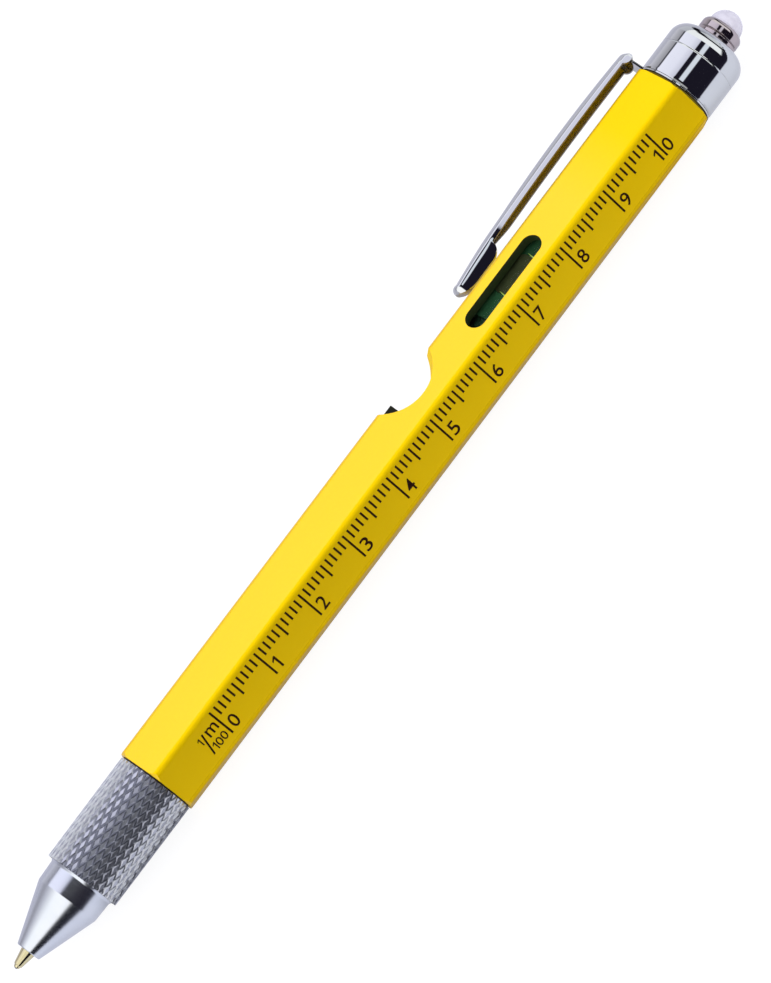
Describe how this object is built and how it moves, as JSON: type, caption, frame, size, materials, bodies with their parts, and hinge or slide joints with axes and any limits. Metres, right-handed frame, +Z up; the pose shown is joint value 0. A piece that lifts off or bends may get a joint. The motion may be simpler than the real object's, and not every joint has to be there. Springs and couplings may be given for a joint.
{
  "type": "multi tool pen",
  "caption": "Hexagonal metal pen with twist-out ballpoint refill, ruler face, bubble level, crown-cap opener notch, spring clip and push-button lamp in its end cap.",
  "frame": {"origin": "middle of the barrel's lower flat, on the surface the pen lies on", "axes": "+X along the pen from the writing tip to the lamp; +Z up, out through the level window; the ruler face looks towards -Y and the clip towards +Y"},
  "size_m": [0.1659, 0.0157, 0.0123],
  "materials": {
    "barrel_yellow": "satin yellow anodising",
    "chrome": "polished",
    "satin_steel": "satin",
    "satin_aluminium": "satin",
    "dark_steel": "blackened",
    "black_plastic": "matt",
    "clear_tube": "clear",
    "green_liquid": "clear green",
    "lamp_clear": "clear",
    "nickel_silver": "turned",
    "ball_steel": "polished",
    "refill_steel": "plain",
    "ink_black": "paste",
    "white_plastic": "moulded",
    "brass": "turned",
    "spring_steel": "drawn",
    "black_rubber": "matt",
    "cell_steel": "plated",
    "board_green": "laminate"
  },
  "bodies": {
    "barrel": {"hex_barrel": "barrel_yellow", "opener_tooth": "dark_steel", "level_vial": "clear_tube", "level_liquid": "green_liquid", "vial_front_plug": "white_plastic", "vial_rear_plug": "white_plastic", "joint_washer": "black_plastic", "guide_tube": "brass", "battery_spacer": "white_plastic", "battery_spring": "spring_steel", "button_cell_1": "cell_steel", "button_cell_2": "cell_steel", "button_cell_3": "cell_steel", "threaded_insert": "brass", "clip_ring": "chrome", "cap_sleeve": "chrome", "cap_dome": "chrome", "switch_disc": "white_plastic", "contact_rivet": "brass", "lamp_spring": "spring_steel"},
    "grip": {"grip_sleeve": "satin_steel", "nose_cone": "satin_aluminium", "drive_collar": "brass", "cam_tube": "brass", "friction_o_ring": "black_rubber", "retaining_ring": "spring_steel"},
    "refill": {"refill_carrier": "white_plastic", "follower_pin": "spring_steel", "refill_tube": "refill_steel", "refill_tip": "nickel_silver", "refill_ink": "ink_black", "refill_plug": "white_plastic", "writing_ball": "ball_steel"},
    "lamp": {"lamp_button": "chrome", "lamp_led": "lamp_clear", "lamp_board": "board_green", "lamp_leads": "spring_steel"},
    "clip": {"clip_arm": "chrome"}
  },
  "joints": [
    {"name": "grip_twist", "type": "hinge", "parent": "barrel", "child": "grip", "pos_m": [-0.06, 0, 0.00585], "axis": [1, 0, 0], "range_deg": [0, 180]},
    {"name": "refill_slide", "type": "slide", "parent": "barrel", "child": "refill", "axis": [1, 0, 0], "range_m": [0, 0.005]},
    {"name": "lamp_press", "type": "slide", "parent": "barrel", "child": "lamp", "axis": [-1, 0, 0], "range_m": [0, 0.001], "stiffness_N_per_m": 500, "springref_m": -0.0004, "deforming": ["lamp_spring"]},
    {"name": "clip_flex", "type": "hinge", "parent": "barrel", "child": "clip", "pos_m": [0.06003, 0.00602, 0.00932], "axis": [0, 0.5, -0.866], "range_deg": [0, 4], "stiffness_Nm_per_rad": 3, "springref_deg": -0.57}
  ],
  "couplings": [
    {"joint": "grip_twist", "follows": "refill_slide", "rad_per_m": 628.32}
  ]
}
